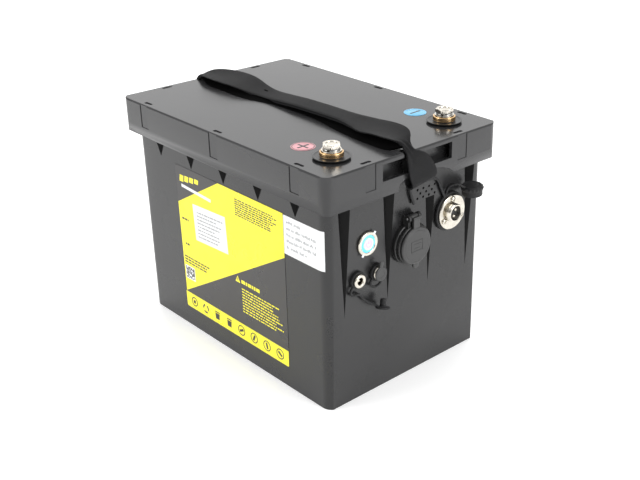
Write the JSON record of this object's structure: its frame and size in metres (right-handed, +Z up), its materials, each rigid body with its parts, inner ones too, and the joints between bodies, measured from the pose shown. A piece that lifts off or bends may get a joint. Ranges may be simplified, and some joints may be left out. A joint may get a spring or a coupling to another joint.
{
  "type": "deep cycle battery",
  "caption": "Boxed lithium deep cycle battery with a webbing handle, stud terminals, lit push switch, hinged accessory socket, capped charging jacks and a round output connector.",
  "frame": {"origin": "centre of the container's underside", "axes": "+Z up; +X towards the end wall that carries the switch, socket, jacks and connector; -Y towards the long wall with the labels"},
  "size_m": [0.2899, 0.186, 0.2146],
  "materials": {
    "container_plastic": "moulded polypropylene, fine texture",
    "lid_plastic": "moulded, half gloss",
    "black_plastic": "moulded nylon",
    "rubber": "soft moulded rubber",
    "webbing": "woven webbing, stitched",
    "brass": "turned and knurled",
    "nickel": "nickel plated",
    "zinc": "zinc plated steel",
    "label_film": "printed film",
    "white_film": "printed film",
    "pink_film": "printed film",
    "blue_film": "printed film",
    "light_ring": "lit diffuser",
    "cell_wrap": "shrink film over aluminium",
    "glass_fibre": "laminate sheet",
    "copper": "nickel flashed copper",
    "board": "circuit board",
    "aluminium": "extruded",
    "cable": "silicone sheath"
  },
  "bodies": {
    "box": {"container": "container_plastic", "lid": "lid_plastic", "lid_gasket": "rubber", "strap_front_loop": "webbing", "strap_front_leg": "webbing", "strap_rear_leg": "webbing", "strap_rear_loop": "webbing", "positive_post": "brass", "negative_post": "brass", "terminal_discs": "black_plastic", "flat_washers": "zinc", "spring_washers": "zinc", "terminal_bolts": "nickel", "post_nuts": "zinc", "positive_sticker": "pink_film", "negative_sticker": "blue_film", "side_label": "label_film", "rating_sticker": "white_film", "notice_sticker": "white_film", "switch_bezel": "nickel", "switch_light_ring": "light_ring", "switch_nut": "zinc", "switch_base": "black_plastic", "socket_body": "black_plastic", "socket_liner": "nickel", "socket_contact": "copper", "socket_nut": "black_plastic", "socket_hinge_pin": "nickel", "left_jack": "nickel", "right_jack": "nickel", "jack_pins": "nickel", "jack_nuts": "zinc", "right_jack_ring": "rubber", "output_shell": "nickel", "output_insert": "black_plastic", "output_pins": "nickel", "output_screws": "nickel", "output_seal": "rubber", "output_nut": "zinc", "cell_1": "cell_wrap", "cell_2": "cell_wrap", "cell_3": "cell_wrap", "cell_4": "cell_wrap", "cell_sheets": "glass_fibre", "end_plates": "glass_fibre", "tie_bands": "zinc", "floor_pad": "rubber", "bus_bars": "copper", "bus_nuts": "zinc", "cell_retainer": "black_plastic", "management_board": "board", "heat_spreader": "aluminium", "inner_cables": "cable"},
    "handle": {"strap_grip": "webbing"},
    "push_button": {"switch_button": "nickel"},
    "cover": {"socket_cover": "black_plastic"},
    "left_cap": {"left_jack_cap": "rubber"},
    "right_cap": {"right_jack_cap": "rubber"},
    "dust_cap": {"output_dust_cap": "rubber"}
  },
  "joints": [
    {"name": "handle_lift", "type": "slide", "parent": "box", "child": "handle", "axis": [0, 0, 1], "range_m": [0, 0.02], "deforming": ["strap_front_leg", "strap_rear_leg"]},
    {"name": "switch_press", "type": "slide", "parent": "box", "child": "push_button", "axis": [-1, 0, 0], "range_m": [0, 0.0015], "stiffness_N_per_m": 800, "springref_m": -0.001},
    {"name": "socket_cover_hinge", "type": "hinge", "parent": "box", "child": "cover", "pos_m": [0.1334, -0.0016, 0.146], "axis": [0, -1, 0], "range_deg": [0, 110]},
    {"name": "left_cap_swing", "type": "hinge", "parent": "box", "child": "left_cap", "pos_m": [0.1291, -0.0564, 0.1083], "axis": [1, 0, 0], "range_deg": [-30, 10]},
    {"name": "right_cap_pull", "type": "slide", "parent": "box", "child": "right_cap", "axis": [1, 0, 0], "range_m": [0, 0.008]},
    {"name": "dust_cap_swing", "type": "hinge", "parent": "box", "child": "dust_cap", "pos_m": [0.13, 0.04, 0.155], "axis": [1, 0, 0], "range_deg": [-6, 20], "stiffness_Nm_per_rad": 0.05, "springref_deg": 0.69}
  ]
}
